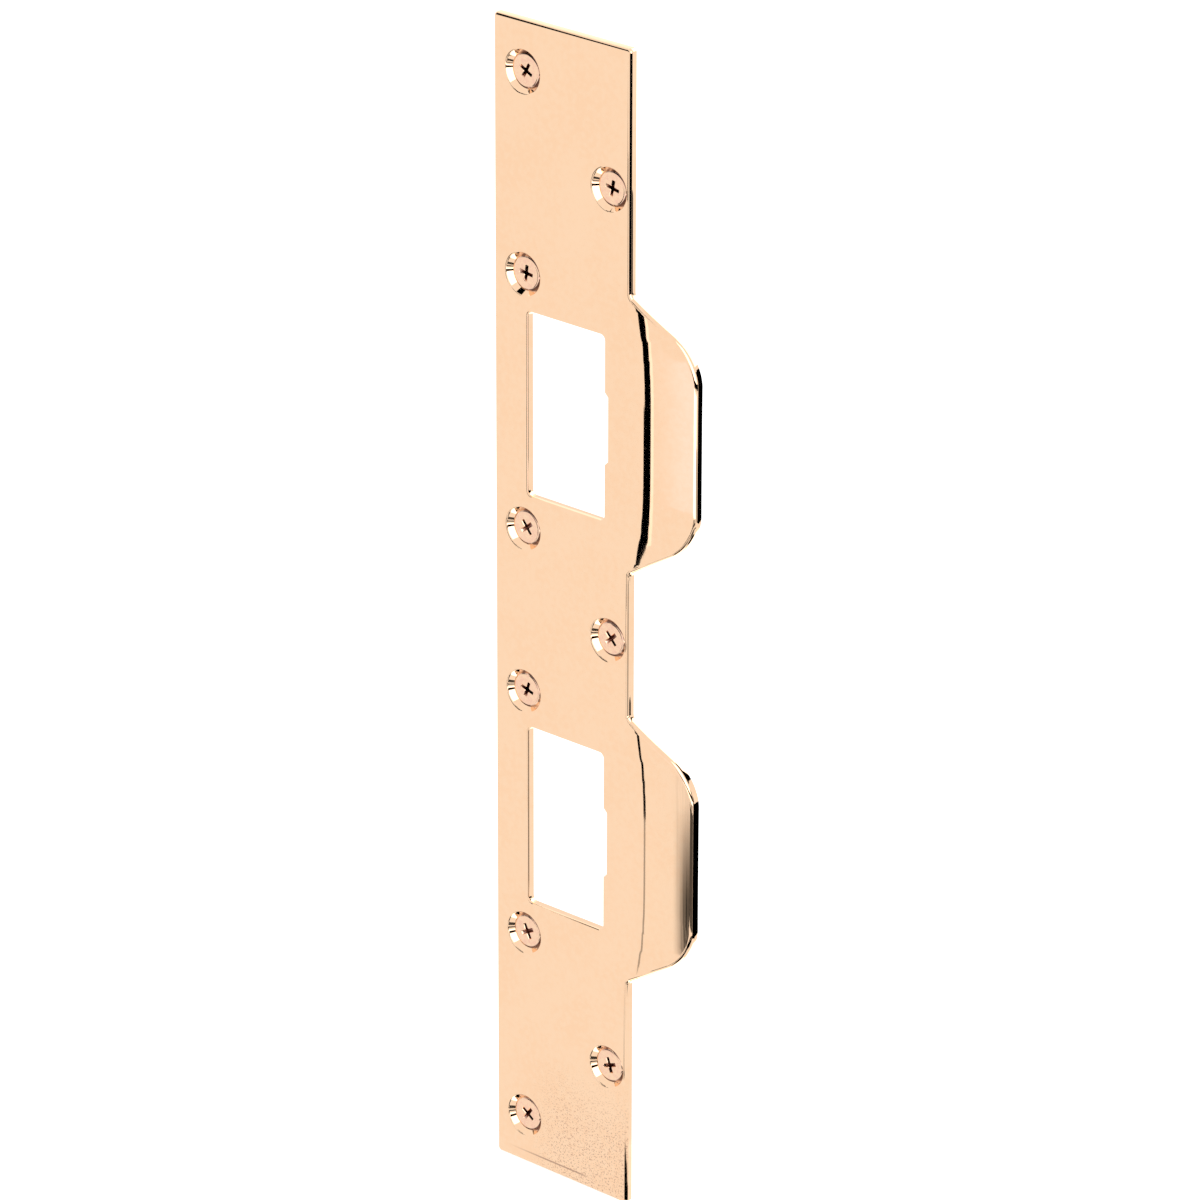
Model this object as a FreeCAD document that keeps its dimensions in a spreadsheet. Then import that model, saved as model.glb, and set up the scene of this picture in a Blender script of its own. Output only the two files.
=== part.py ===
import FreeCAD, Part
import math
import os

import Sketcher

# Door strike plate with two latch openings, two curved lips and nine flat-head screws.
# Frame: Z runs up the plate, X runs from the plain edge to the edge with the lips, and Y runs
# from the front face into the door jamb. The origin is the centre of the plate's back face.

DIMENSIONS = {
    # The flat plate
    "plate_height": 282.6,
    "plate_width": 41.3,
    "plate_thickness": 1.75,
    "plate_corner_radius": 1.0,
    "front_edge_radius": 0.8,
    # The two latch openings, one above and one below the middle
    "opening_spacing": 101.6,
    "opening_height": 44.5,
    "opening_width": 23.3,
    "opening_left_margin": 10.3,
    "opening_corner_radius": 1.3,
    "notch_depth": 1.0,
    "notch_height": 17.3,
    "notch_slope": 1.0,
    # The two lips that guide the latches
    "lip_root_length": 66.0,
    "lip_reach": 18.0,
    "lip_flat_reach": 3.8,
    "lip_root_radius": 18.0,
    "lip_first_angle": 5.0,
    "lip_tip_angle": 15.0,
    "lip_taper_angle": 30.0,
    "lip_corner_radius": 12.5,
    "lip_heel_radius": 1.5,
    # The screw holes
    "left_hole_margin": 8.9,
    "right_hole_margin": 6.4,
    "end_hole_margin": 12.2,
    "opening_hole_offset": 30.7,
    "right_hole_end_margin": 33.7,
    "countersink_diameter": 10.4,
    "countersink_angle": 82.0,
    "screw_hole_diameter": 5.0,
    # The screws
    "screw_head_diameter": 8.4,
    "screw_head_rim": 0.15,
    "screw_shank_diameter": 4.2,
    "screw_length": 7.2,
    "screw_tip_length": 2.6,
    "recess_span": 4.0,
    "recess_wing": 1.0,
    "recess_depth": 1.7,
    "recess_draft": 12.0,
}

# The nine screw places: name, column, height and how far the screw was turned, in degrees
LEFT_COLUMN = "Sizes.left_hole_margin - Sizes.plate_width / 2"
RIGHT_COLUMN = "Sizes.plate_width / 2 - Sizes.right_hole_margin"
SCREW_PLACES = (
    ("left_top", LEFT_COLUMN, "Sizes.plate_height / 2 - Sizes.end_hole_margin", 28.0),
    ("left_upper", LEFT_COLUMN, "Sizes.opening_spacing / 2 + Sizes.opening_hole_offset", 8.0),
    ("left_above_middle", LEFT_COLUMN, "Sizes.opening_spacing / 2 - Sizes.opening_hole_offset", 52.0),
    ("left_below_middle", LEFT_COLUMN, "Sizes.opening_hole_offset - Sizes.opening_spacing / 2", 17.0),
    ("left_lower", LEFT_COLUMN, "-Sizes.opening_spacing / 2 - Sizes.opening_hole_offset", 63.0),
    ("left_bottom", LEFT_COLUMN, "Sizes.end_hole_margin - Sizes.plate_height / 2", 35.0),
    ("right_top", RIGHT_COLUMN, "Sizes.plate_height / 2 - Sizes.right_hole_end_margin", 12.0),
    ("right_middle", RIGHT_COLUMN, "0 * Sizes.plate_height", 47.0),
    ("right_bottom", RIGHT_COLUMN, "Sizes.right_hole_end_margin - Sizes.plate_height / 2", 70.0),
)

document = FreeCAD.newDocument("DoorStrikePlate")
sheet = document.addObject("Spreadsheet::Sheet", "Sizes")
for row, (alias, value) in enumerate(DIMENSIONS.items(), start=1):
    sheet.set(f"A{row}", alias)
    sheet.set(f"B{row}", str(value))
    sheet.setAlias(f"B{row}", alias)
document.recompute()


def size(alias):
    """The number that the sheet holds under a name."""
    return float(sheet.get(alias))


def worked_out(expression):
    """The number that an expression of the sheet's names comes to."""
    return float(sheet.evalExpression(expression))


def point(across, up):
    return FreeCAD.Vector(across, up, 0)


def add_body(name):
    body = document.addObject("PartDesign::Body", name)
    body.Label = name
    return body


def add_sketch(body, name, plane_role):
    """A sketch on one of the body's own origin planes."""
    sketch = body.newObject("Sketcher::SketchObject", name)
    plane = next(part for part in body.Origin.OriginFeatures if part.Role == plane_role)
    sketch.AttachmentSupport = (plane, [""])
    sketch.MapMode = "FlatFace"
    return sketch


def add_line(sketch, start, end):
    return sketch.addGeometry(Part.LineSegment(start, end), False)


def add_arc(sketch, centre, radius, first_angle, last_angle):
    """An arc drawn counterclockwise between two directions, in degrees."""
    circle = Part.Circle(centre, FreeCAD.Vector(0, 0, 1), radius)
    arc = Part.ArcOfCircle(circle, math.radians(first_angle), math.radians(last_angle))
    return sketch.addGeometry(arc, False)


def bind(sketch, name, expression, *constraint):
    """Adds a dimension to a sketch and ties it to the sheet."""
    index = sketch.addConstraint(Sketcher.Constraint(*constraint))
    sketch.renameConstraint(index, name)
    sketch.setExpression(f"Constraints.{name}", expression)


def join(sketch, *pairs):
    """Makes the end of one curve the start of the next."""
    for first, first_end, second, second_end in pairs:
        sketch.addConstraint(Sketcher.Constraint("Coincident", first, first_end, second, second_end))


def join_smoothly(sketch, *pairs):
    """Joins the ends of two curves so that they run on without a corner."""
    for first, first_end, second, second_end in pairs:
        sketch.addConstraint(Sketcher.Constraint("Tangent", first, first_end, second, second_end))


def level(sketch, *lines):
    for index in lines:
        sketch.addConstraint(Sketcher.Constraint("Horizontal", index))


def upright(sketch, *lines):
    for index in lines:
        sketch.addConstraint(Sketcher.Constraint("Vertical", index))


# The numbers that a sketch gives to a curve's two ends and its centre
START, END, CENTRE = range(1, 4)
ORIGIN = (-1, START)


def rounded_rectangle(sketch, left, bottom, right, top, radius):
    """Four sides and four corner arcs. Returns the indexes of the sides and of one corner."""
    floor = add_line(sketch, point(left + radius, bottom), point(right - radius, bottom))
    wall = add_line(sketch, point(right, bottom + radius), point(right, top - radius))
    ceiling = add_line(sketch, point(right - radius, top), point(left + radius, top))
    back = add_line(sketch, point(left, top - radius), point(left, bottom + radius))
    low_right = add_arc(sketch, point(right - radius, bottom + radius), radius, 270, 360)
    high_right = add_arc(sketch, point(right - radius, top - radius), radius, 0, 90)
    high_left = add_arc(sketch, point(left + radius, top - radius), radius, 90, 180)
    low_left = add_arc(sketch, point(left + radius, bottom + radius), radius, 180, 270)
    join_smoothly(
        sketch,
        (floor, END, low_right, START),
        (low_right, END, wall, START),
        (wall, END, high_right, START),
        (high_right, END, ceiling, START),
        (ceiling, END, high_left, START),
        (high_left, END, back, START),
        (back, END, low_left, START),
        (low_left, END, floor, START),
    )
    level(sketch, floor, ceiling)
    upright(sketch, wall, back)
    for corner in (high_right, high_left, low_left):
        sketch.addConstraint(Sketcher.Constraint("Equal", low_right, corner))
    return floor, wall, ceiling, back, low_right


def edges_where(shape, test):
    """The names of the edges whose middle and direction pass a test."""
    names = []
    for number, edge in enumerate(shape.Edges, start=1):
        middle = edge.valueAt((edge.FirstParameter + edge.LastParameter) / 2)
        if test(edge, middle):
            names.append(f"Edge{number}")
    return names


# The plate: a flat strip whose front face looks toward -Y
plate = add_body("strike_plate")

height = size("plate_height")
width = size("plate_width")
thickness = size("plate_thickness")

outline = add_sketch(plate, "plate_outline", "XZ_Plane")
floor, wall, ceiling, back, corner = rounded_rectangle(
    outline, -width / 2, -height / 2, width / 2, height / 2, size("plate_corner_radius")
)
bind(outline, "width_right", "Sizes.plate_width / 2", "DistanceX", *ORIGIN, wall, START, width / 2)
bind(outline, "width_left", "Sizes.plate_width / 2", "DistanceX", back, START, *ORIGIN, width / 2)
bind(outline, "height_up", "Sizes.plate_height / 2", "DistanceY", *ORIGIN, ceiling, START, height / 2)
bind(outline, "height_down", "Sizes.plate_height / 2", "DistanceY", floor, START, *ORIGIN, height / 2)
bind(outline, "corner", "Sizes.plate_corner_radius", "Radius", corner, size("plate_corner_radius"))
blank = plate.newObject("PartDesign::Pad", "plate_blank")
blank.Profile = outline
blank.setExpression("Length", "Sizes.plate_thickness")
document.recompute()

# The upper lip: the sheet runs on past the edge, bends back at its root and curves on
first_angle = size("lip_first_angle")
tip_angle = size("lip_tip_angle")
root_radius = size("lip_root_radius")
edge_x = width / 2
root_x = edge_x + size("lip_flat_reach")
tip_x = edge_x + size("lip_reach")
lip_start = edge_x - thickness
sine_first = math.sin(math.radians(first_angle))
sine_tip = math.sin(math.radians(tip_angle))
cosine_first = math.cos(math.radians(first_angle))
cosine_tip = math.cos(math.radians(tip_angle))
bend_end_x = root_x + root_radius * sine_first
face_radius = (tip_x - bend_end_x) / (sine_tip - sine_first)
root_centre = point(root_x, root_radius - thickness)
face_centre = point(
    bend_end_x - face_radius * sine_first,
    root_radius * (1 - cosine_first) - thickness + face_radius * cosine_first,
)
tip_front = point(tip_x, face_centre.y - face_radius * cosine_tip)
inner_radius = face_radius - thickness
tip_back = point(tip_x, face_centre.y - math.sqrt(inner_radius**2 - (tip_x - face_centre.x) ** 2))
back_tip_angle = math.degrees(math.asin((tip_x - face_centre.x) / inner_radius))

section = add_sketch(plate, "lip_section", "XY_Plane")
front_flat = add_line(section, point(lip_start, -thickness), point(root_x, -thickness))
front_bend = add_arc(section, root_centre, root_radius, 270, 270 + first_angle)
front_face = add_arc(section, face_centre, face_radius, 270 + first_angle, 270 + tip_angle)
tip_line = add_line(section, tip_front, tip_back)
back_face = add_arc(section, face_centre, inner_radius, 270 + first_angle, 270 + back_tip_angle)
back_bend = add_arc(section, root_centre, root_radius - thickness, 270, 270 + first_angle)
back_flat = add_line(section, point(root_x, 0), point(lip_start, 0))
inner_end = add_line(section, point(lip_start, 0), point(lip_start, -thickness))
join_smoothly(
    section,
    (front_flat, END, front_bend, START),
    (front_bend, END, front_face, START),
    (back_face, START, back_bend, END),
    (back_bend, START, back_flat, START),
)
join(
    section,
    (front_face, END, tip_line, START),
    (tip_line, END, back_face, END),
    (back_flat, END, inner_end, START),
    (inner_end, END, front_flat, START),
    (front_bend, CENTRE, back_bend, CENTRE),
    (front_face, CENTRE, back_face, CENTRE),
)
level(section, front_flat)
upright(section, inner_end, tip_line)
section.addConstraint(Sketcher.Constraint("PointOnObject", back_flat, END, -1))
bind(section, "sheet", "Sizes.plate_thickness", "DistanceY", front_flat, START, *ORIGIN, thickness)
bind(section, "start", "Sizes.plate_width / 2 - Sizes.plate_thickness",
     "DistanceX", *ORIGIN, front_flat, START, lip_start)
bind(section, "flat", "Sizes.plate_width / 2 + Sizes.lip_flat_reach",
     "DistanceX", *ORIGIN, front_flat, END, root_x)
bind(section, "reach", "Sizes.plate_width / 2 + Sizes.lip_reach",
     "DistanceX", *ORIGIN, front_face, END, tip_x)
bind(section, "bend", "Sizes.lip_root_radius", "Radius", front_bend, root_radius)
bind(section, "bend_turn", "Sizes.lip_first_angle", "Angle", front_bend, math.radians(first_angle))
bind(section, "face_turn", "Sizes.lip_tip_angle - Sizes.lip_first_angle",
     "Angle", front_face, math.radians(tip_angle - first_angle))
section.setExpression("AttachmentOffset.Base.z", "Sizes.opening_spacing / 2")
lip = plate.newObject("PartDesign::Pad", "lip_sheet")
lip.Profile = section
lip.setExpression("Length", "Sizes.lip_root_length + 2 * Sizes.lip_heel_radius")
lip.Midplane = True
document.recompute()

# The lip's outline: each end tapers from a small heel at the plate's edge to a rounded corner.
# What lies outside it is cut away, at the upper end and at the lower end
taper = math.radians(size("lip_taper_angle"))
heel_radius = size("lip_heel_radius")
corner_radius = size("lip_corner_radius")
spacing = size("opening_spacing")
root_half = size("lip_root_length") / 2
waste = size("lip_root_length") / 4


def add_lip_end(name, side):
    """The sketch of what is cut away at one end of the lip. Side is 1 above and -1 below."""
    middle = spacing / 2
    heel_turn = math.pi / 2 - taper
    heel_run = heel_radius * math.tan(heel_turn / 2)
    heel_centre = point(edge_x + heel_radius, middle + side * (root_half + heel_run))
    heel_low = point(edge_x, heel_centre.y)
    heel_out = point(
        heel_centre.x - heel_radius * math.sin(taper),
        heel_centre.y - side * heel_radius * math.cos(taper),
    )
    corner_height = root_half - (tip_x - corner_radius - edge_x) * math.tan(taper)
    corner_centre = point(
        tip_x - corner_radius,
        middle + side * (corner_height - corner_radius / math.cos(taper)),
    )
    corner_in = point(
        corner_centre.x + corner_radius * math.sin(taper),
        corner_centre.y + side * corner_radius * math.cos(taper),
    )
    corner_out = point(tip_x, corner_centre.y)
    far = point(tip_x + waste, corner_out.y)
    far_end = point(far.x, middle + side * (root_half + waste))
    near_end = point(edge_x, far_end.y)
    taper_degrees = math.degrees(taper)
    sketch = add_sketch(plate, name, "XZ_Plane")
    if side > 0:
        heel = add_arc(sketch, heel_centre, heel_radius, 180, 270 - taper_degrees)
        corner = add_arc(sketch, corner_centre, corner_radius, 0, 90 - taper_degrees)
        heel_start, heel_end, corner_start, corner_end = START, END, END, START
    else:
        heel = add_arc(sketch, heel_centre, heel_radius, 90 + taper_degrees, 180)
        corner = add_arc(sketch, corner_centre, corner_radius, 270 + taper_degrees, 360)
        heel_start, heel_end, corner_start, corner_end = END, START, START, END
    root_side = add_line(sketch, near_end, heel_low)
    slope = add_line(sketch, heel_out, corner_in)
    shelf = add_line(sketch, corner_out, far)
    outer = add_line(sketch, far, far_end)
    cap = add_line(sketch, far_end, near_end)
    join_smoothly(
        sketch,
        (root_side, END, heel, heel_start),
        (heel, heel_end, slope, START),
        (slope, END, corner, corner_start),
    )
    join(
        sketch,
        (corner, corner_end, shelf, START),
        (shelf, END, outer, START),
        (outer, END, cap, START),
        (cap, END, root_side, START),
    )
    level(sketch, shelf, cap)
    upright(sketch, root_side, outer)
    bind(sketch, "edge", "Sizes.plate_width / 2", "DistanceX", *ORIGIN, root_side, START, edge_x)
    bind(sketch, "heel", "Sizes.lip_heel_radius", "Radius", heel, heel_radius)
    bind(sketch, "corner", "Sizes.lip_corner_radius", "Radius", corner, corner_radius)
    bind(sketch, "heel_turn", "90 - Sizes.lip_taper_angle", "Angle", heel, heel_turn)
    bind(sketch, "corner_turn", "90 - Sizes.lip_taper_angle", "Angle", corner, heel_turn)
    bind(sketch, "reach", "Sizes.plate_width / 2 + Sizes.lip_reach",
         "DistanceX", *ORIGIN, corner, corner_end, tip_x)
    bind(sketch, "waste", "Sizes.lip_root_length / 4", "DistanceX", shelf, START, shelf, END, waste)
    bind(
        sketch, "root",
        f"Sizes.opening_spacing / 2 + {side} * (Sizes.lip_root_length / 2"
        " + Sizes.lip_heel_radius * tan((90 - Sizes.lip_taper_angle) / 2))",
        "DistanceY", *ORIGIN, heel, CENTRE, heel_centre.y,
    )
    bind(
        sketch, "beyond",
        f"Sizes.opening_spacing / 2 + {side} * Sizes.lip_root_length * 3 / 4",
        "DistanceY", *ORIGIN, cap, START, far_end.y,
    )
    cut = plate.newObject("PartDesign::Pocket", name.replace("outline", "cut"))
    cut.Profile = sketch
    cut.Type = "ThroughAll"
    cut.Midplane = True
    document.recompute()
    return cut


upper_end_cut = add_lip_end("lip_upper_outline", 1)
lower_end_cut = add_lip_end("lip_lower_outline", -1)

# The upper latch opening, and the shallow notch in the middle of its right side
opening_left = size("opening_left_margin") - edge_x
opening_right = opening_left + size("opening_width")
opening_low = (spacing - size("opening_height")) / 2
opening_high = (spacing + size("opening_height")) / 2
opening_radius = size("opening_corner_radius")

opening_outline = add_sketch(plate, "opening_outline", "XZ_Plane")
floor, wall, ceiling, back, corner = rounded_rectangle(
    opening_outline, opening_left, opening_low, opening_right, opening_high, opening_radius
)
bind(opening_outline, "left", "Sizes.opening_left_margin - Sizes.plate_width / 2",
     "DistanceX", *ORIGIN, back, START, opening_left)
bind(opening_outline, "across", "Sizes.opening_width",
     "DistanceX", back, START, wall, START, size("opening_width"))
bind(opening_outline, "low", "(Sizes.opening_spacing - Sizes.opening_height) / 2",
     "DistanceY", *ORIGIN, floor, START, opening_low)
bind(opening_outline, "up", "Sizes.opening_height",
     "DistanceY", floor, START, ceiling, START, size("opening_height"))
bind(opening_outline, "corner", "Sizes.opening_corner_radius", "Radius", corner, opening_radius)
opening = plate.newObject("PartDesign::Pocket", "latch_opening")
opening.Profile = opening_outline
opening.Type = "ThroughAll"
opening.Midplane = True
document.recompute()

notch_depth = size("notch_depth")
notch_slope = size("notch_slope")
notch_half = size("notch_height") / 2
notch_inner = opening_right - notch_depth
notch_outer = opening_right + notch_depth
notch_lean = 2 * notch_slope
notch_outline = add_sketch(plate, "notch_outline", "XZ_Plane")
notch_points = (
    point(notch_inner, spacing / 2 - notch_half - notch_slope),
    point(notch_outer, spacing / 2 - notch_half + notch_slope),
    point(notch_outer, spacing / 2 + notch_half - notch_slope),
    point(notch_inner, spacing / 2 + notch_half + notch_slope),
)
low_slope = add_line(notch_outline, notch_points[0], notch_points[1])
outer = add_line(notch_outline, notch_points[1], notch_points[2])
high_slope = add_line(notch_outline, notch_points[2], notch_points[3])
inner = add_line(notch_outline, notch_points[3], notch_points[0])
join(
    notch_outline,
    (low_slope, END, outer, START),
    (outer, END, high_slope, START),
    (high_slope, END, inner, START),
    (inner, END, low_slope, START),
)
upright(notch_outline, outer, inner)
bind(notch_outline, "inner",
     "Sizes.opening_left_margin + Sizes.opening_width - Sizes.plate_width / 2 - Sizes.notch_depth",
     "DistanceX", *ORIGIN, inner, START, notch_inner)
bind(notch_outline, "deep", "2 * Sizes.notch_depth",
     "DistanceX", inner, START, outer, START, 2 * notch_depth)
bind(notch_outline, "low_end",
     "(Sizes.opening_spacing - Sizes.notch_height) / 2 - Sizes.notch_slope",
     "DistanceY", *ORIGIN, low_slope, START, notch_points[0].y)
bind(notch_outline, "low_lean", "2 * Sizes.notch_slope",
     "DistanceY", low_slope, START, low_slope, END, notch_lean)
bind(notch_outline, "outer_side", "Sizes.notch_height - 2 * Sizes.notch_slope",
     "DistanceY", outer, START, outer, END, 2 * (notch_half - notch_slope))
bind(notch_outline, "high_lean", "2 * Sizes.notch_slope",
     "DistanceY", high_slope, START, high_slope, END, notch_lean)
notch = plate.newObject("PartDesign::Pocket", "opening_notch")
notch.Profile = notch_outline
notch.Type = "ThroughAll"
notch.Midplane = True
document.recompute()

# The lower half repeats the lip, the opening and the notch
lower_half = plate.newObject("PartDesign::Mirrored", "lower_half")
lower_half.Originals = [lip, upper_end_cut, lower_end_cut, opening, notch]
lower_half.MirrorPlane = (
    next(part for part in plate.Origin.OriginFeatures if part.Role == "XY_Plane"), [""]
)
plate.Tip = lower_half
document.recompute()

# The front edge of plate and lips is rounded all the way round, as a die leaves it
edge_radius = size("front_edge_radius")
close = thickness / 100


def on_front_outline(edge, middle):
    """Whether an edge lies on the outer border of the front face or of a lip's front face."""
    flat_front = abs(middle.y + thickness) < close
    outside = abs(middle.x) > opening_right + notch_depth + close or abs(middle.z) > opening_high + close
    if middle.x < edge_x + close:
        return flat_front and outside
    across = math.hypot(middle.x - face_centre.x, middle.y - face_centre.y)
    bend = math.hypot(middle.x - root_centre.x, middle.y - root_centre.y)
    on_face = abs(across - face_radius) < close and middle.x > bend_end_x - close
    on_bend = abs(bend - root_radius) < close and root_x - close < middle.x < bend_end_x + close
    on_flat = flat_front and middle.x < root_x + close
    tangent = edge.tangentAt((edge.FirstParameter + edge.LastParameter) / 2)
    bend_line = abs(tangent.z) > 1 - close and middle.x < tip_x - close
    return (on_face or on_bend or on_flat) and not bend_line


rounded = plate.newObject("PartDesign::Fillet", "front_rounding")
rounded.Base = (lower_half, edges_where(lower_half.Shape, on_front_outline))
rounded.setExpression("Radius", "Sizes.front_edge_radius")
document.recompute()

# The nine countersunk holes, seen from the front face
hole_places = add_sketch(plate, "hole_places", "XZ_Plane")
hole_places.setExpression("AttachmentOffset.Base.z", "Sizes.plate_thickness")
hole_radius = size("screw_hole_diameter") / 2
up = FreeCAD.Vector(0, 0, 1)
for name, across, height_up, turn in SCREW_PLACES:
    centre = point(worked_out(across), worked_out(height_up))
    ring = hole_places.addGeometry(Part.Circle(centre, up, hole_radius), False)
    bind(hole_places, f"{name}_across", across, "DistanceX", *ORIGIN, ring, CENTRE, centre.x)
    bind(hole_places, f"{name}_up", height_up, "DistanceY", *ORIGIN, ring, CENTRE, centre.y)
    bind(hole_places, f"{name}_ring", "Sizes.screw_hole_diameter / 2", "Radius", ring, hole_radius)
document.recompute()
holes = plate.newObject("PartDesign::Hole", "countersunk_holes")
holes.Profile = hole_places
document.recompute()
holes.DepthType = "ThroughAll"
holes.setExpression("Diameter", "Sizes.screw_hole_diameter")
holes.HoleCutType = "Countersink"
holes.HoleCutCustomValues = True
holes.setExpression("HoleCutDiameter", "Sizes.countersink_diameter")
holes.setExpression("HoleCutCountersinkAngle", "Sizes.countersink_angle")
document.recompute()

# One screw: a flat head with a cross recess, a plain shank and a point. Its axis is Y
screw = add_body("screw")
head_radius = size("screw_head_diameter") / 2
shank_radius = size("screw_shank_diameter") / 2
head_rim = size("screw_head_rim")
length = size("screw_length")
half_angle = math.radians(size("countersink_angle") / 2)
neck = head_rim + (head_radius - shank_radius) / math.tan(half_angle)
shoulder = length - size("screw_tip_length")
profile_points = (
    point(0, 0),
    point(head_radius, 0),
    point(head_radius, head_rim),
    point(shank_radius, neck),
    point(shank_radius, shoulder),
    point(0, length),
)
profile = add_sketch(screw, "screw_profile", "XY_Plane")
top, rim, cone, shank, tip, axis = (
    add_line(profile, start, end)
    for start, end in zip(profile_points, profile_points[1:] + profile_points[:1])
)
join(
    profile,
    (top, END, rim, START),
    (rim, END, cone, START),
    (cone, END, shank, START),
    (shank, END, tip, START),
    (tip, END, axis, START),
    (axis, END, top, START),
)
join(profile, (top, START, *ORIGIN))
level(profile, top)
upright(profile, rim, shank, axis)
bind(profile, "head", "Sizes.screw_head_diameter / 2",
     "DistanceX", *ORIGIN, rim, START, head_radius)
bind(profile, "rim", "Sizes.screw_head_rim", "DistanceY", *ORIGIN, rim, END, head_rim)
bind(profile, "shank", "Sizes.screw_shank_diameter / 2",
     "DistanceX", *ORIGIN, shank, START, shank_radius)
bind(profile, "neck",
     "Sizes.screw_head_rim + (Sizes.screw_head_diameter - Sizes.screw_shank_diameter) / 2"
     " / tan(Sizes.countersink_angle / 2)",
     "DistanceY", *ORIGIN, cone, END, neck)
bind(profile, "shoulder", "Sizes.screw_length - Sizes.screw_tip_length",
     "DistanceY", *ORIGIN, shank, END, shoulder)
bind(profile, "length", "Sizes.screw_length", "DistanceY", *ORIGIN, tip, END, length)
turned = screw.newObject("PartDesign::Revolution", "turned_blank")
turned.Profile = profile
turned.ReferenceAxis = (profile, ["V_Axis"])
turned.Angle = 360
document.recompute()

span = size("recess_span")
wing = size("recess_wing")
slot_corners = (
    point(-span / 2, -wing / 2),
    point(span / 2, -wing / 2),
    point(span / 2, wing / 2),
    point(-span / 2, wing / 2),
)
slot = add_sketch(screw, "recess_wings", "XZ_Plane")
low, right, high, left = (
    add_line(slot, start, end)
    for start, end in zip(slot_corners, slot_corners[1:] + slot_corners[:1])
)
join(
    slot,
    (low, END, right, START),
    (right, END, high, START),
    (high, END, left, START),
    (left, END, low, START),
)
level(slot, low, high)
upright(slot, right, left)
bind(slot, "span_left", "Sizes.recess_span / 2", "DistanceX", low, START, *ORIGIN, span / 2)
bind(slot, "span", "Sizes.recess_span", "DistanceX", low, START, low, END, span)
bind(slot, "wing_low", "Sizes.recess_wing / 2", "DistanceY", low, START, *ORIGIN, wing / 2)
bind(slot, "wing", "Sizes.recess_wing", "DistanceY", right, START, right, END, wing)
wings = screw.newObject("PartDesign::Pocket", "recess_slot")
wings.Profile = slot
wings.setExpression("Length", "Sizes.recess_depth")
wings.setExpression("TaperAngle", "-Sizes.recess_draft")
document.recompute()
recess = screw.newObject("PartDesign::PolarPattern", "cross_recess")
recess.Originals = [wings]
recess.Axis = (next(part for part in screw.Origin.OriginFeatures if part.Role == "Y_Axis"), [""])
recess.Angle = 90
recess.Occurrences = 2
screw.Tip = recess
document.recompute()

# The nine driven screws: each head sits down in its countersink, turned its own way
SEAT = (
    "(Sizes.countersink_diameter - Sizes.screw_head_diameter) / 2 / tan(Sizes.countersink_angle / 2)"
    " - Sizes.screw_head_rim - Sizes.plate_thickness"
)
drive_axis = FreeCAD.Vector(0, 1, 0)
driven = []
for name, across, height_up, turn in SCREW_PLACES:
    copy = document.addObject("App::Link", f"screw_{name}")
    copy.LinkedObject = screw
    copy.Placement = FreeCAD.Placement(
        FreeCAD.Vector(worked_out(across), worked_out(SEAT), worked_out(height_up)),
        FreeCAD.Rotation(drive_axis, turn),
    )
    copy.setExpression("Placement.Base.x", across)
    copy.setExpression("Placement.Base.y", SEAT)
    copy.setExpression("Placement.Base.z", height_up)
    driven.append(copy)
screws = document.addObject("Part::Compound", "mounting_screws")
screws.Label = "mounting_screws"
screws.Links = driven
document.recompute()

for item in document.Objects:
    if "Invalid" in item.State or "Error" in item.State:
        raise RuntimeError(f"{item.Name} failed: {item.State}")
os.makedirs("parts", exist_ok=True)
for piece in (plate, screws):
    if piece.Shape.isNull() or not piece.Shape.isValid():
        raise RuntimeError(f"{piece.Label} has no valid shape")
    piece.Shape.exportStep(f"parts/{piece.Label}.step")
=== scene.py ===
import math

import bmesh
import bpy
from mathutils import Matrix, Vector


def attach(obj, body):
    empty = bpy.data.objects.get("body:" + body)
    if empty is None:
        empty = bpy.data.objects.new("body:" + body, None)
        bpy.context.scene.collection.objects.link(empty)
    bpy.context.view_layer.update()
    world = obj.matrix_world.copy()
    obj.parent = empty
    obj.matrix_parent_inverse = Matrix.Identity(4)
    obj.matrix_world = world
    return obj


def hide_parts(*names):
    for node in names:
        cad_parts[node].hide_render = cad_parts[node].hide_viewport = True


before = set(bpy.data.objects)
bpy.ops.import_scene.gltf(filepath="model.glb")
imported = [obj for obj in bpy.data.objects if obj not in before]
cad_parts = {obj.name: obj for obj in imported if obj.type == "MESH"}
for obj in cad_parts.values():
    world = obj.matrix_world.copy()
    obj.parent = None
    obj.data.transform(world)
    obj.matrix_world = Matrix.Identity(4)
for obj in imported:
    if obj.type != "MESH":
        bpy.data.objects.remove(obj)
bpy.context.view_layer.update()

# The door strike plate: a stamped brass sheet with two latch openings and two curved lips,
# held by nine flat-head screws. The front face looks toward -Y and the lips reach toward +X.
# Lengths are in millimetres until a finished mesh is scaled to metres.
MM = 0.001

PLATE_HEIGHT = 282.6
PLATE_WIDTH = 41.3
SHEET = 1.75
PLATE_CORNER = 1.0
FRONT_ROUNDING = 0.8
SPACING = 101.6
OPENING_HEIGHT = 44.5
OPENING_WIDTH = 23.3
OPENING_LEFT = 10.3 - PLATE_WIDTH / 2
OPENING_CORNER = 1.3
NOTCH_DEPTH = 1.0
NOTCH_HEIGHT = 17.3
NOTCH_SLOPE = 1.0
LIP_ROOT = 66.0
LIP_REACH = 18.0
LIP_FLAT = 3.8
LIP_BEND_RADIUS = 30.0
LIP_BEND_BITE = 1.2
LIP_BITE_SPREAD = 0.035
LIP_FIRST = math.radians(5)
LIP_TIP = math.radians(15)
LIP_TAPER = math.radians(30)
LIP_CORNER = 12.5
LIP_HEEL = 1.5
COUNTERSINK = 5.2
COUNTERSINK_HALF = math.radians(41)
HEAD_RADIUS = 4.2
HEAD_RIM = 0.15
HEAD_ROUNDING = 0.7
HEAD_FALL = 0.25
SHANK_RADIUS = 2.1
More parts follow.
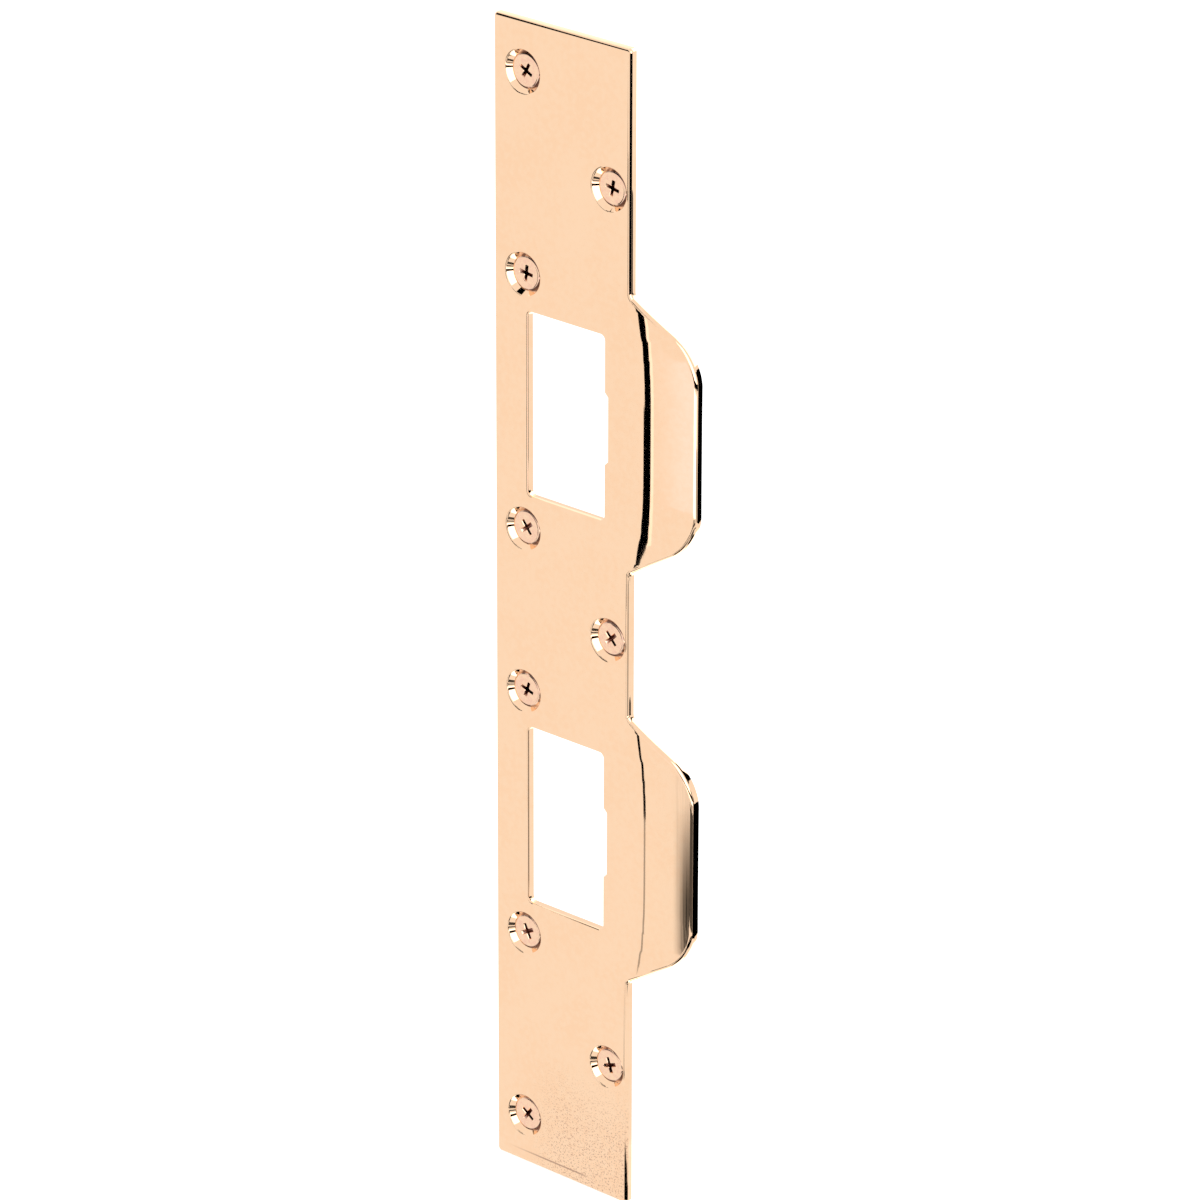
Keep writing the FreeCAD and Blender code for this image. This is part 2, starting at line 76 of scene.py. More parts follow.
SCREW_LENGTH = 7.2
SCREW_TIP = 2.6
CORE_RADIUS = SHANK_RADIUS * 0.74
NECK = HEAD_RIM + (HEAD_RADIUS - SHANK_RADIUS) / math.tan(COUNTERSINK_HALF)

# The cross recess, from its mouth over a small bevel to its floor: span, wing width and depth
RECESS = ((4.0, 1.0, 0.0), (3.75, 0.8, 0.14), (2.6, 0.5, 1.7))
RECESS_INNER_ROUNDING = 0.22
RECESS_OUTER_ROUNDING = 0.08
THREAD_PITCH = 1.2
THREAD_TURNS = 2
THREAD_HALF_FOOT = 0.32
THREAD_HALF_CREST = 0.04

# Fine finish of the sheet: broken edges, soft countersink rims and the flat margins beside them
EDGE_BREAK = 0.25
RIM_SOFTNESS = 0.12
FLAT_MARGIN = 0.3
MARGIN_LIFT = 0.05

# How finely round shapes are divided
CIRCLE_STEPS = 64
ROUNDING_STEPS = 8
LIP_CORNER_STEPS = 32
THREAD_STEPS = 32

EDGE = PLATE_WIDTH / 2
LEFT_COLUMN = 8.9 - EDGE
RIGHT_COLUMN = EDGE - 6.4
HOLE_OFFSET = 30.7
HALF_HEIGHT = PLATE_HEIGHT / 2

# Where each screw sits across and up the plate, and how far it was turned, in degrees
SCREWS = (
    (LEFT_COLUMN, HALF_HEIGHT - 12.2, 28),
    (LEFT_COLUMN, SPACING / 2 + HOLE_OFFSET, 8),
    (LEFT_COLUMN, SPACING / 2 - HOLE_OFFSET, 52),
    (LEFT_COLUMN, HOLE_OFFSET - SPACING / 2, 17),
    (LEFT_COLUMN, -SPACING / 2 - HOLE_OFFSET, 63),
    (LEFT_COLUMN, 12.2 - HALF_HEIGHT, 35),
    (RIGHT_COLUMN, HALF_HEIGHT - 33.7, 12),
    (RIGHT_COLUMN, 0.0, 47),
    (RIGHT_COLUMN, 33.7 - HALF_HEIGHT, 70),
)


# Mesh helpers

def finish_mesh(bm, name, smooth_angle):
    """Turns a bmesh in millimetres into a smooth-shaded object in metres."""
    bmesh.ops.remove_doubles(bm, verts=bm.verts, dist=0.0005)
    bmesh.ops.recalc_face_normals(bm, faces=bm.faces)
    bmesh.ops.scale(bm, vec=(MM, MM, MM), verts=bm.verts)
    for face in bm.faces:
        face.smooth = True
    for edge in bm.edges:
        if len(edge.link_faces) == 2 and edge.calc_face_angle(0) > smooth_angle:
            edge.smooth = False
    mesh = bpy.data.meshes.new(name)
    bm.to_mesh(mesh)
    bm.free()
    piece = bpy.data.objects.new(name, mesh)
    bpy.context.scene.collection.objects.link(piece)
    return piece


def widest_face(bm, depth):
    """The face with the most corners among those that lie at one depth."""
    level = [face for face in bm.faces if abs(face.calc_center_median().y - depth) < 1e-6]
    return max(level, key=lambda face: len(face.verts))


def polygon(bm, corners, depth, rounding):
    """A ring of edges whose sharp corners are rounded by their own radius."""
    verts = [bm.verts.new((x, depth, z)) for x, z in corners]
    face = bm.faces.new(verts)
    for vert, radius in zip(verts, rounding):
        if radius <= 0:
            continue
        arms = [(edge.other_vert(vert).co - vert.co).normalized() for edge in vert.link_edges]
        turn = math.pi - arms[0].angle(arms[1])
        bmesh.ops.bevel(
            bm,
            geom=[vert],
            offset=radius * math.tan(turn / 2),
            segments=LIP_CORNER_STEPS if radius == LIP_CORNER else ROUNDING_STEPS,
            profile=0.5,
            affect="VERTICES",
            material=-1,
        )
        face = widest_face(bm, depth)
    return face


def fill_between(bm, edges):
    """Fills a flat area that has holes in it."""
    bmesh.ops.triangle_fill(bm, use_beauty=True, use_dissolve=False, edges=edges)


def circle(bm, radius, depth, across=0.0, up=0.0):
    """A circle of edges around an axis that runs straight into the plate."""
    place = Matrix.Translation((across, depth, up)) @ Matrix.Rotation(math.pi / 2, 4, "X")
    made = bmesh.ops.create_circle(bm, segments=CIRCLE_STEPS, radius=radius, matrix=place)
    return list(dict.fromkeys(edge for vert in made["verts"] for edge in vert.link_edges))


def walls(bm, rings):
    """Joins a row of rings by walls and returns the first and the last ring."""
    for first, second in zip(rings, rings[1:]):
        bmesh.ops.bridge_loops(bm, edges=first + second)
    return rings[0], rings[-1]


def cut(bm, place, direction, faces):
    """Cuts some faces along a plane without changing their shape."""
    parts = dict.fromkeys(faces)
    for face in faces:
        parts.update(dict.fromkeys([*face.edges, *face.verts]))
    bmesh.ops.bisect_plane(bm, geom=list(parts), dist=1e-5, plane_co=place, plane_no=direction)


# The plate

def lip_corners(side):
    """The four sharp corners of one lip's outline, from its lower root to its upper root."""
    middle = side * SPACING / 2
    root = LIP_ROOT / 2
    tip = root - LIP_REACH * math.tan(LIP_TAPER)
    return [
        (EDGE, middle - root),
        (EDGE + LIP_REACH, middle - tip),
        (EDGE + LIP_REACH, middle + tip),
        (EDGE, middle + root),
    ]


def plate_corners():
    """The sharp corners of the whole blank and the radius that rounds each."""
    corners = [(-EDGE, -HALF_HEIGHT), (EDGE, -HALF_HEIGHT)]
    corners += lip_corners(-1) + lip_corners(1)
    corners += [(EDGE, HALF_HEIGHT), (-EDGE, HALF_HEIGHT)]
    lip = [LIP_HEEL, LIP_CORNER, LIP_CORNER, LIP_HEEL]
    return corners, [PLATE_CORNER, PLATE_CORNER] + lip + lip + [PLATE_CORNER, PLATE_CORNER]


def opening_ring(bm, side, grow, depth):
    """One latch opening's outline with its notch, grown outward a little."""
    middle = side * SPACING / 2
    left = OPENING_LEFT - grow
    right = OPENING_LEFT + OPENING_WIDTH + grow
    half = OPENING_HEIGHT / 2 + grow
    notch = NOTCH_HEIGHT / 2 + grow
    corners = [
        (left, middle - half),
        (right, middle - half),
        (right, middle - notch),
        (right + NOTCH_DEPTH, middle - notch + NOTCH_SLOPE),
        (right + NOTCH_DEPTH, middle + notch - NOTCH_SLOPE),
        (right, middle + notch),
        (right, middle + half),
        (left, middle + half),
    ]
    outer = OPENING_CORNER + grow
    face = polygon(bm, corners, depth, [outer, outer, 0, 0, 0, 0, outer, outer])
    edges = list(face.edges)
    bmesh.ops.delete(bm, geom=[face], context="FACES_ONLY")
    return edges


def bend_start(z):
    """Where the bend begins: just inside the plate's edge at a lip's ends, further out between."""
    middle = math.copysign(SPACING / 2, z)
    along = abs(z - middle) / (LIP_ROOT / 2)
    bite = LIP_BEND_BITE * math.exp(-((along - 1) / LIP_BITE_SPREAD) ** 2)
    return EDGE + LIP_FLAT * (1 - min(1.0, along) ** 4) - bite


def bent_depth(x, depth, z):
    """Where the bend takes a point of the sheet: the front face curves back past the root."""
    root = bend_start(z)
    if x <= root:
        return depth
    bend_end = root + LIP_BEND_RADIUS * math.sin(LIP_FIRST)
    face_radius = (EDGE + LIP_REACH - bend_end) / (math.sin(LIP_TIP) - math.sin(LIP_FIRST))
    if x <= bend_end:
        sine = (x - root) / LIP_BEND_RADIUS
        drop = LIP_BEND_RADIUS * (1 - math.sqrt(1 - sine * sine))
    else:
        sine = math.sin(LIP_FIRST) + (x - bend_end) / face_radius
        cosine = math.sqrt(1 - sine * sine)
        drop = LIP_BEND_RADIUS * (1 - math.cos(LIP_FIRST))
        drop += face_radius * (math.cos(LIP_FIRST) - cosine)
    slope = math.sqrt(1 - sine * sine)
    return drop - SHEET + (depth + SHEET) / slope


def opening_rings(bm, side):
    """One opening's rings from the flat face through its broken edge to the back."""
    shoulder = EDGE_BREAK * 0.3
    return [
        opening_ring(bm, side, EDGE_BREAK + FLAT_MARGIN, -SHEET - MARGIN_LIFT),
        opening_ring(bm, side, EDGE_BREAK, -SHEET),
        opening_ring(bm, side, shoulder, shoulder - SHEET),
        opening_ring(bm, side, 0.0, EDGE_BREAK - SHEET),
        opening_ring(bm, side, 0.0, 0.0),
        opening_ring(bm, side, FLAT_MARGIN, MARGIN_LIFT),
    ]


def countersink_rings(bm, across, up):
    """One screw hole's rings: a soft rim, then the cone right through the sheet."""
    narrow = COUNTERSINK - SHEET * math.tan(COUNTERSINK_HALF)
    sizes = [
        (COUNTERSINK + RIM_SOFTNESS + FLAT_MARGIN, -SHEET - MARGIN_LIFT),
        (COUNTERSINK + RIM_SOFTNESS, -SHEET),
        (COUNTERSINK + RIM_SOFTNESS * 0.35, RIM_SOFTNESS * 0.25 - SHEET),
        (COUNTERSINK - RIM_SOFTNESS, RIM_SOFTNESS * 1.1 - SHEET),
        (narrow, 0.0),
        (narrow + FLAT_MARGIN, MARGIN_LIFT),
    ]
    return [circle(bm, radius, depth, across, up) for radius, depth in sizes]


def divide_lips(bm):
    """Cuts the lips across and along, finely enough to bend smoothly."""
    fine, coarse, bend_width, rows = 0.3, 0.75, 7.5, 24
    for step in range(25):
        cut(bm, (EDGE + step * fine, 0, 0), (1, 0, 0), bm.faces[:])
    for step in range(14):
        cut(bm, (EDGE + bend_width + step * coarse, 0, 0), (1, 0, 0), bm.faces[:])
    for side in (-1, 1):
        lower = side * SPACING / 2 - LIP_ROOT / 2
        for row in range(rows + 1):
            past_edge = [face for face in bm.faces if face.calc_center_median().x > EDGE]
            cut(bm, (0, 0, lower + LIP_ROOT * row / rows), (0, 0, 1), past_edge)


def near_lip_end(bm):
    """The faces on the lips and in the strip of the plate that the bend can bite into."""
    bite_reach = 2.5
    return [face for face in bm.faces if face.calc_center_median().x > EDGE - bite_reach]


def divide_bites(bm):
    """Cuts more lines around the ends of the lips, where the bend bites into the plate's edge."""
    for inset in (1.5, 1.2, 0.9, 0.6, 0.3):
        cut(bm, (EDGE - inset, 0, 0), (1, 0, 0), near_lip_end(bm))
    ends = [side * SPACING / 2 + end * LIP_ROOT / 2 for side in (-1, 1) for end in (-1, 1)]
    for end in ends:
        for step in range(-6, 7):
            cut(bm, (0, 0, end + step * 0.5), (0, 0, 1), near_lip_end(bm))


def round_front_edge(bm, front):
    """Raises the front face in rounded steps from the side wall, then adds a flat margin."""
    for step in range(ROUNDING_STEPS + 1):
        here = math.pi / 2 * step / ROUNDING_STEPS
        there = math.pi / 2 * (step + 1) / ROUNDING_STEPS
        inward = FRONT_ROUNDING * (math.cos(here) - math.cos(there))
        lift = FRONT_ROUNDING * (math.sin(there) - math.sin(here))
        if step == ROUNDING_STEPS:
            inward, lift = FLAT_MARGIN * 0.6, 0.0
        bmesh.ops.inset_region(
            bm, faces=[front], thickness=inward, use_even_offset=True, use_boundary=True
        )
        bmesh.ops.translate(bm, vec=(0, -lift, 0), verts=list(front.verts))


def build_plate():
    """The flat blank with its openings and holes, divided and then bent."""
    bm = bmesh.new()
    corners, rounding = plate_corners()
    back = polygon(bm, corners, 0.0, rounding)
    raised = bmesh.ops.extrude_face_region(bm, geom=[back], use_keep_orig=True)["geom"]
    front = next(item for item in raised if isinstance(item, bmesh.types.BMFace))
    bmesh.ops.translate(bm, vec=(0, FRONT_ROUNDING - SHEET, 0), verts=list(front.verts))
    round_front_edge(bm, front)
    front_edges = list(front.edges)
    back_edges = list(back.edges)
    bmesh.ops.delete(bm, geom=[front, back], context="FACES_ONLY")

    holes = [opening_rings(bm, side) for side in (-1, 1)]
    holes += [countersink_rings(bm, across, up) for across, up, _ in SCREWS]
    for rings in holes:
        first, last = walls(bm, rings)
        front_edges += first
        back_edges += last
    # The margins were lifted so that their walls join in order; here they come back flush
    for vert in bm.verts:
        vert.co.y = min(0.0, max(-SHEET, vert.co.y))
    fill_between(bm, front_edges)
    fill_between(bm, back_edges)

    divide_lips(bm)
    divide_bites(bm)
    for vert in bm.verts:
        vert.co.y = bent_depth(vert.co.x, vert.co.y, vert.co.z)
    return finish_mesh(bm, "plate", math.radians(24))


# The screws

def cross_corners(span, wing):
    """The twelve corners of a cross recess."""
    long = span / 2
    short = wing / 2
    return [
        (short, short), (short, long), (-short, long), (-short, short),
        (-long, short), (-long, -short), (-short, -short), (-short, -long),
        (short, -long), (short, -short), (long, -short), (long, short),
    ]


def cross_ring(bm, span, wing, depth):
    """A ring of edges around the cross, with its corners rounded a little."""
    corners = cross_corners(span, wing)
    verts = [bm.verts.new((x, depth, z)) for x, z in corners]
    bm.faces.new(verts)
    for vert, (x, z) in zip(verts, corners):
        rounding = RECESS_INNER_ROUNDING if abs(x) == abs(z) else RECESS_OUTER_ROUNDING
        bmesh.ops.bevel(
            bm,
            geom=[vert],
            offset=rounding,
            segments=3,
            profile=0.5,
            affect="VERTICES",
            material=-1,
        )
    face = widest_face(bm, depth)
    edges = list(face.edges)
    bmesh.ops.delete(bm, geom=[face], context="FACES_ONLY")
    return edges


def head_and_shank(bm):
    """The flat head with its rounded brim, the shank and the point; returns the top's edge."""
    top_margin, neck_length, core_start = 0.25, 0.35, 0.6
    shoulder = SCREW_LENGTH - SCREW_TIP
    brim = HEAD_RADIUS - (HEAD_FALL - HEAD_RIM) * math.tan(COUNTERSINK_HALF)
    rings = [circle(bm, brim - HEAD_ROUNDING - top_margin, 0.0)]
    for step in range(ROUNDING_STEPS + 1):
        turn = math.pi / 2 * step / ROUNDING_STEPS
        radius = brim - HEAD_ROUNDING * (1 - math.sin(turn))
        rings.append(circle(bm, radius, HEAD_FALL * (1 - math.cos(turn))))
    rings += [
        circle(bm, SHANK_RADIUS, NECK),
        circle(bm, SHANK_RADIUS, NECK + neck_length),
        circle(bm, CORE_RADIUS, NECK + core_start),
        circle(bm, CORE_RADIUS, shoulder),
        circle(bm, CORE_RADIUS * 0.5, shoulder + SCREW_TIP * 0.6),
        circle(bm, 0.08, SCREW_LENGTH),
    ]
    top, point = walls(bm, rings)
    bmesh.ops.edgeloop_fill(bm, edges=point)
    return top


def wind_thread(bm):
    """Winds the thread round the core from below the neck; it narrows with the point."""
    screw_verts = set(bm.verts)
    start = NECK + 0.9
    foot = CORE_RADIUS - 0.05
    profile = [
        (foot, start - THREAD_HALF_FOOT),
        (SHANK_RADIUS, start - THREAD_HALF_CREST),
        (SHANK_RADIUS, start + THREAD_HALF_CREST),
        (foot, start + THREAD_HALF_FOOT),
    ]
    verts = [bm.verts.new((radius, depth, 0)) for radius, depth in profile]
    edges = [bm.edges.new(pair) for pair in zip(verts, verts[1:])]
    bmesh.ops.spin(
        bm,
        geom=verts + edges,
        cent=(0, 0, 0),
        axis=(0, 1, 0),
        dvec=(0, THREAD_PITCH / THREAD_STEPS, 0),
        angle=2 * math.pi * THREAD_TURNS,
        steps=THREAD_STEPS * THREAD_TURNS,
        use_merge=False,
    )
    for vert in [vert for vert in bm.verts if vert not in screw_verts]:
        shrink = min(1.0, (SCREW_LENGTH - vert.co.y) / SCREW_TIP)
        vert.co.x *= shrink
        vert.co.z *= shrink


def build_screw_mesh():
    """One screw with its head's top at the origin and its shank along +Y."""
    bm = bmesh.new()
    top = head_and_shank(bm)
    mouth, floor = walls(bm, [cross_ring(bm, *size) for size in RECESS])
    bmesh.ops.edgeloop_fill(bm, edges=floor)
    fill_between(bm, top + mouth)
    wind_thread(bm)
    return bm


def mark_places(bm, across, up, seat):
    """Writes two UV maps: "depth" holds the distance from the axis and the depth below the
    head's top, and "around" the place across and up the head, all in centimetres."""
    mm_per_cm = 10
    depth = bm.loops.layers.uv.new("depth")
    around = bm.loops.layers.uv.new("around")
    for face in bm.faces:
        for loop in face.loops:
            x, y, z = (loop.vert.co - Vector((across, seat, up))) / mm_per_cm
            loop[depth].uv = (math.hypot(x, z), y)
            loop[around].uv = (x, z)


def build_screws():
    """All nine screws, each seated in its countersink and turned by its own angle."""
    seat = (COUNTERSINK - HEAD_RADIUS) / math.tan(COUNTERSINK_HALF) - HEAD_RIM - SHEET
    made = []
    for number, (across, up, turn) in enumerate(SCREWS, start=1):
        bm = build_screw_mesh()
        place = Matrix.Translation((across, seat, up)) @ Matrix.Rotation(math.radians(turn), 4, "Y")
        bmesh.ops.transform(bm, matrix=place, verts=bm.verts)
        mark_places(bm, across, up, seat)
        made.append(finish_mesh(bm, f"screw_{number}", math.radians(28)))
    return made


# Materials

def new_material(name):
    material = bpy.data.materials.new(name)
    material.use_nodes = True
    return material, material.node_tree


def new_group(name, inputs, outputs):
    """A shader node group with named sockets, each input with its usual value."""
    group = bpy.data.node_groups.new(name, "ShaderNodeTree")
    for label, kind, value in inputs:
        socket = group.interface.new_socket(label, in_out="INPUT", socket_type=kind)
        if value is not None:
            socket.default_value = value
    for label, kind in outputs:
        group.interface.new_socket(label, in_out="OUTPUT", socket_type=kind)
    return group, group.nodes.new("NodeGroupInput"), group.nodes.new("NodeGroupOutput")


def math_node(tree, operation, first, second=None, clamp=False):
    """A math node fed by sockets or plain numbers; returns its output."""
    node = tree.nodes.new("ShaderNodeMath")
    node.operation = operation
    node.use_clamp = clamp
    for socket, value in zip(node.inputs, (first, second)):
        if isinstance(value, (int, float)):
            socket.default_value = value
        elif value is not None:
            tree.links.new(value, socket)
    return node.outputs[0]


def smooth_range(tree, value, low, high):
    """Rises smoothly from 0 to 1 while the value goes from low to high."""
    node = tree.nodes.new("ShaderNodeMapRange")
    node.interpolation_type = "SMOOTHSTEP"
    tree.links.new(value, node.inputs["Value"])
    node.inputs["From Min"].default_value = low
    node.inputs["From Max"].default_value = high
    return node.outputs[0]


def noise(tree, place, scale, detail=2.0):
    node = tree.nodes.new("ShaderNodeTexNoise")
    node.inputs["Detail"].default_value = detail
    tree.links.new(place, node.inputs["Vector"])
    if isinstance(scale, (int, float)):
        node.inputs["Scale"].default_value = scale
    else:
        tree.links.new(scale, node.inputs["Scale"])
    return node.outputs["Fac"]


def mottled_tone():
    """A faintly uneven lacquer: shifts a colour toward a second one in soft patches."""
    patchiness = (0.12, 0.42)
    group, given, made = new_group(
        "mottled_tone",
        [
            ("Vector", "NodeSocketVector", None),
            ("Color", "NodeSocketColor", (1, 1, 1, 1)),
            ("Patch Color", "NodeSocketColor", (1, 1, 1, 1)),
            ("Patch Scale", "NodeSocketFloat", 90.0),
            ("Grain Scale", "NodeSocketFloat", 900.0),
        ],
        [("Color", "NodeSocketColor"), ("Grain", "NodeSocketFloat")],
    )
    patches = noise(group, given.outputs["Vector"], given.outputs["Patch Scale"], 3.0)
    grain = noise(group, given.outputs["Vector"], given.outputs["Grain Scale"], 1.0)
    both = math_node(group, "MULTIPLY", patches, grain)
    mix = group.nodes.new("ShaderNodeMix")
    mix.data_type = "RGBA"
    group.links.new(smooth_range(group, both, *patchiness), mix.inputs["Factor"])
    group.links.new(given.outputs["Color"], mix.inputs["A"])
    group.links.new(given.outputs["Patch Color"], mix.inputs["B"])
    group.links.new(mix.outputs["Result"], made.inputs["Color"])
    group.links.new(grain, made.inputs["Grain"])
    return group


def split_axes(tree, vector):
    """The three coordinates of a vector as separate sockets."""
    split = tree.nodes.new("ShaderNodeSeparateXYZ")
    tree.links.new(vector, split.inputs[0])
    return split.outputs["X"], split.outputs["Y"], split.outputs["Z"]


def uv_place(tree, name):
    """Both coordinates of one of the piece's own UV maps."""
    uv = tree.nodes.new("ShaderNodeUVMap")
    uv.uv_map = name
    return split_axes(tree, uv.outputs["UV"])[:2]


def product(tree, first, *others):
    """The product of several masks or numbers."""
    for other in others:
        first = math_node(tree, "MULTIPLY", first, other)
    return first


def darken(tree, color, mask, dark):
    """Mixes a colour toward a darker one where the mask is 1."""
    mix = tree.nodes.new("ShaderNodeMix")
    mix.data_type = "RGBA"
    tree.links.new(mask, mix.inputs["Factor"])
    tree.links.new(color, mix.inputs["A"])
    mix.inputs["B"].default_value = (*dark, 1)
    return mix.outputs["Result"]


def place_tone(tree, group, color, patch, patch_scale, grain_scale):
    """Puts the mottled tone on object coordinates; returns its node and the coordinates."""
    place = tree.nodes.new("ShaderNodeTexCoord").outputs["Object"]
    tone = tree.nodes.new("ShaderNodeGroup")
    tone.node_tree = group
    tone.inputs["Color"].default_value = (*color, 1)
    tone.inputs["Patch Color"].default_value = (*patch, 1)
    tone.inputs["Patch Scale"].default_value = patch_scale
    tone.inputs["Grain Scale"].default_value = grain_scale
    tree.links.new(place, tone.inputs["Vector"])
    return tone, place


def finish_metal(material, color, roughness):
    """Gives a metal its colour and how sharply it mirrors."""
    tree = material.node_tree
    shader = tree.nodes["Principled BSDF"]
    tree.links.new(color, shader.inputs["Base Color"])
    shader.inputs["Metallic"].default_value = 1.0
    shader.inputs["Roughness"].default_value = roughness
    return material


def plate_brass(group):
    """Bright lacquered brass with the fine specks and the hairline near the plate's foot."""
    brass = (0.99, 0.69, 0.463)
    patch = (0.985, 0.662, 0.43)
    speck_brown = (0.45, 0.25, 0.18)
    hairline_brown = (0.36, 0.22, 0.16)
    hairline_height = -0.1384

    material, tree = new_material("polished_brass")
    tone, place = place_tone(tree, group, brass, patch, 70.0, 700.0)
    across, inward, up = split_axes(tree, place)
    on_front = smooth_range(tree, inward, -0.0009, -0.0014)

    # Specks: small dots that thin out upward from the foot and toward the left edge
    dots = smooth_range(tree, noise(tree, place, 2400.0, 2.0), 0.52, 0.68)
    near_foot = smooth_range(tree, up, -0.108, -0.130)
    near_right = smooth_range(tree, across, -0.012, 0.002)
    specks = product(tree, dots, near_foot, near_right, on_front, 0.7)

    # The hairline runs just above the bottom edge and fades at both ends
    rise = math_node(tree, "ABSOLUTE", math_node(tree, "SUBTRACT", up, hairline_height))
    line = math_node(tree, "SUBTRACT", 1.0, smooth_range(tree, rise, 0.00008, 0.0003))
    fade_in = smooth_range(tree, across, -0.018, -0.004)
    fade_out = smooth_range(tree, across, 0.0095, 0.0055)
    line = product(tree, line, fade_in, fade_out, on_front, 0.75)

    color = darken(tree, tone.outputs["Color"], specks, speck_brown)
    color = darken(tree, color, line, hairline_brown)
    return finish_metal(material, color, 0.035)


def screw_plating(group):
    """Thin plating, with painted shade inside the cross recess and in the seam round the head's
    brim.
    """
    plating = (0.985, 0.685, 0.465)
    patch = (0.92, 0.57, 0.42)
    recess_shade_brown = (0.36, 0.21, 0.17)
    seam_shade_dark = (0.1, 0.05, 0.045)

    material, tree = new_material("screw_brass")
    tone, place = place_tone(tree, group, plating, patch, 900.0, 3000.0)
    from_axis, below_top = uv_place(tree, "depth")
    # Painted shade: near the axis, the cross recess darkens toward brown from its mouth downward
    inside = math_node(tree, "SUBTRACT", 1.0, smooth_range(tree, from_axis, 0.2, 0.23))
    recess = product(tree, inside, smooth_range(tree, below_top, 0.0, 0.06))
    color = darken(tree, tone.outputs["Color"], recess, recess_shade_brown)

    # Painted shade in the seam round the brim, where the head meets the countersink: widest above
    # and below, none toward the left edge
    across, up = uv_place(tree, "around")
    reach = product(tree, math_node(tree, "ABSOLUTE", up), 0.09)
    brim = smooth_range(tree, math_node(tree, "ADD", from_axis, reach), 0.392, 0.412)
    right_of_left = smooth_range(tree, across, -0.26, -0.12)
    patchy = smooth_range(tree, noise(tree, place, 420.0, 2.0), 0.3, 0.5)
    # The seam is darkened toward near-black here as painted shade
    color = darken(tree, color, product(tree, brim, right_of_left, patchy, 0.9), seam_shade_dark)
    return finish_metal(material, color, 0.07)


# The part

tone_group = mottled_tone()
plate = build_plate()
plate.data.materials.append(plate_brass(tone_group))
weighted = plate.modifiers.new("flat_faces_stay_flat", "WEIGHTED_NORMAL")
weighted.mode = "FACE_AREA"
weighted.keep_sharp = True
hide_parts("strike_plate")
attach(plate, "root")

screw_brass = screw_plating(tone_group)
for screw in build_screws():
    screw.data.materials.append(screw_brass)
    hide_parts("mounting_screws")
    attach(screw, "root")


# The stage: a pale floor, a white surround, cards for the metal to mirror and the camera

AROUND = (0.0, 0.0)
LIP_END = (EDGE + LIP_REACH, 1.0)
OPENING_SIDE = (OPENING_LEFT, -SHEET)
CARD_DISTANCE = 600
FLOOR_SIZE = 6000

# Each card is a piece of an upright cylinder seen only in reflections: its name, the middle
# and radius of the cylinder, the azimuths it spans (0 is in front, 90 toward +X), its bottom
# and top, and its brightness, where 1 is as bright as the white surround
CARDS = (
    ("right_edge_upper", AROUND, CARD_DISTANCE, 5, 88, -136, -38, 0.0),
    ("right_edge_middle", AROUND, CARD_DISTANCE, 5, 44, -285, -225, 0.4),
    ("right_edge_foot", AROUND, CARD_DISTANCE, 0, 72, -475, -431, 0.0),
    ("right_edge_foot_end", AROUND, CARD_DISTANCE, -26, 100, -475, -437, 0.0),
    ("right_wall_glow", AROUND, CARD_DISTANCE, 105, 165, -125, 0, 1.06),
    ("foot_wall_glow", AROUND, CARD_DISTANCE, 118, 155, -475, -425, 1.17),
    ("upper_lip_brim", AROUND, CARD_DISTANCE, 4, 60, -212, -146, 2.4),
    ("upper_lip_end", LIP_END, 60, 92, 142, -5, 82, 0.0),
    ("lower_lip_end", LIP_END, 60, 60, 142, -118, -46, 0.0),
    ("lower_lip_brim", AROUND, CARD_DISTANCE, -8, 60, -354, -288, 0.08),
    ("lower_lip_corner", LIP_END, 25, 0, 60, -102, -86, 0.0),
    ("lower_corner_glow", AROUND, CARD_DISTANCE, 150, 215, -1000, -420, 2.4),
    ("countersink_side", AROUND, CARD_DISTANCE, 38, 72, -660, -480, 0.05),
    ("countersink_glow", AROUND, CARD_DISTANCE + 20, 28, 66, -95, 640, 2.4),
    ("upper_lip_bend", AROUND, CARD_DISTANCE, -38.8, -30.5, -245, -175, 0.0),
    ("upper_lip_bend_top", AROUND, CARD_DISTANCE, -37.6, -30.5, -175, -90, 0.0),
    ("upper_lip_bend_glow", AROUND, CARD_DISTANCE, -30.5, -28.5, -245, -90, 1.3),
    ("lower_lip_bend", AROUND, CARD_DISTANCE, -36.3, -33.5, -318, -262, 0.0),
    ("lower_lip_bend_faint", AROUND, CARD_DISTANCE, -36, -34, -390, -318, 0.45),
    ("top_edge", AROUND, 60, -66, -22, 138, 177, 0.0),
    ("top_glow", AROUND, CARD_DISTANCE, -175, -85, 300, 1000, 1.35),
    ("taper_glow", AROUND, CARD_DISTANCE, 120, 215, 230, 1300, 2.4),
    ("screw_tops", AROUND, CARD_DISTANCE, -36, -11, 84, 330, 0.0),
    ("below_right", AROUND, CARD_DISTANCE, -6, 40, -1400, -560, 0.0),
    ("below_left", AROUND, CARD_DISTANCE, -54, -31, -1400, -820, 0.0),
    ("opening_brown", OPENING_SIDE, 200, 69, 82, -54, -8, 0.2),
)


def glow_material(name, strength=1.0):
    """A material that only glows white; returns it with its nodes and the glow itself."""
    material, tree = new_material(name)
    tree.nodes.clear()
    output = tree.nodes.new("ShaderNodeOutputMaterial")
    glow = tree.nodes.new("ShaderNodeEmission")
    glow.inputs["Color"].default_value = (1, 1, 1, 1)
    glow.inputs["Strength"].default_value = strength
    tree.links.new(glow.outputs[0], output.inputs["Surface"])
    return material, tree, glow


